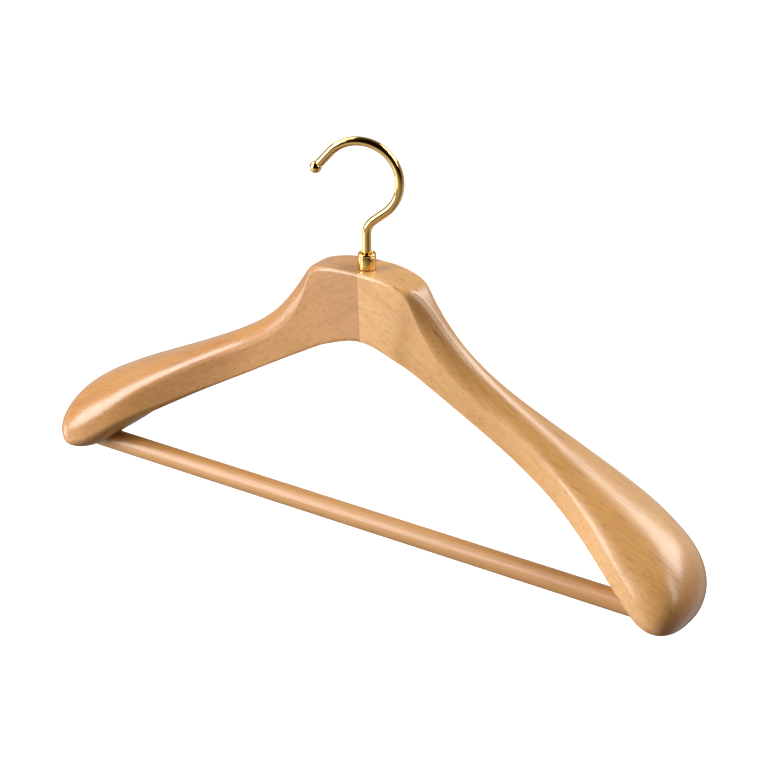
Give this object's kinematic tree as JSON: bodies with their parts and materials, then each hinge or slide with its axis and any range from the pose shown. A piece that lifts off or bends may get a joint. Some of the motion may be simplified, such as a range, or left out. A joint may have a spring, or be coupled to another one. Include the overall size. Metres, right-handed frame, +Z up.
{
  "type": "suit hanger",
  "caption": "Contoured beech suit hanger with broad rounded shoulder ends, a round trouser bar and a swivelling brass wire hook with a ball end.",
  "frame": {"origin": "where a rail touches the inside of the hook's bow, on the vertical axis that the hook turns about", "axes": "+X along the shoulders, towards the right arm as seen from the front; -Y towards the front; +Z up"},
  "size_m": [0.4398, 0.0717, 0.2425],
  "materials": {
    "lacquered_beech": "satin clear lacquer over beech",
    "bar_beech": "sanded beech dowel",
    "dowel_beech": "bare beech dowel",
    "polished_brass": "polished brass plate",
    "plain_brass": "turned brass",
    "pin_steel": "plain steel"
  },
  "bodies": {
    "hook_body": {"hook": "polished_brass", "ball_tip": "polished_brass", "shank_nut": "plain_brass", "thrust_washer": "pin_steel"},
    "hanger_body": {"left_arm": "lacquered_beech", "right_arm": "lacquered_beech", "trouser_bar": "bar_beech", "ferrule": "polished_brass", "socket": "plain_brass", "joint_dowel_front": "dowel_beech", "joint_dowel_rear": "dowel_beech", "bar_pin_left": "pin_steel", "bar_pin_right": "pin_steel"}
  },
  "joints": [
    {"name": "hook_swivel", "type": "hinge", "parent": "hook_body", "child": "hanger_body", "pos_m": [0, 0, -0.07257], "axis": [0, 0, 1], "continuous": true}
  ]
}
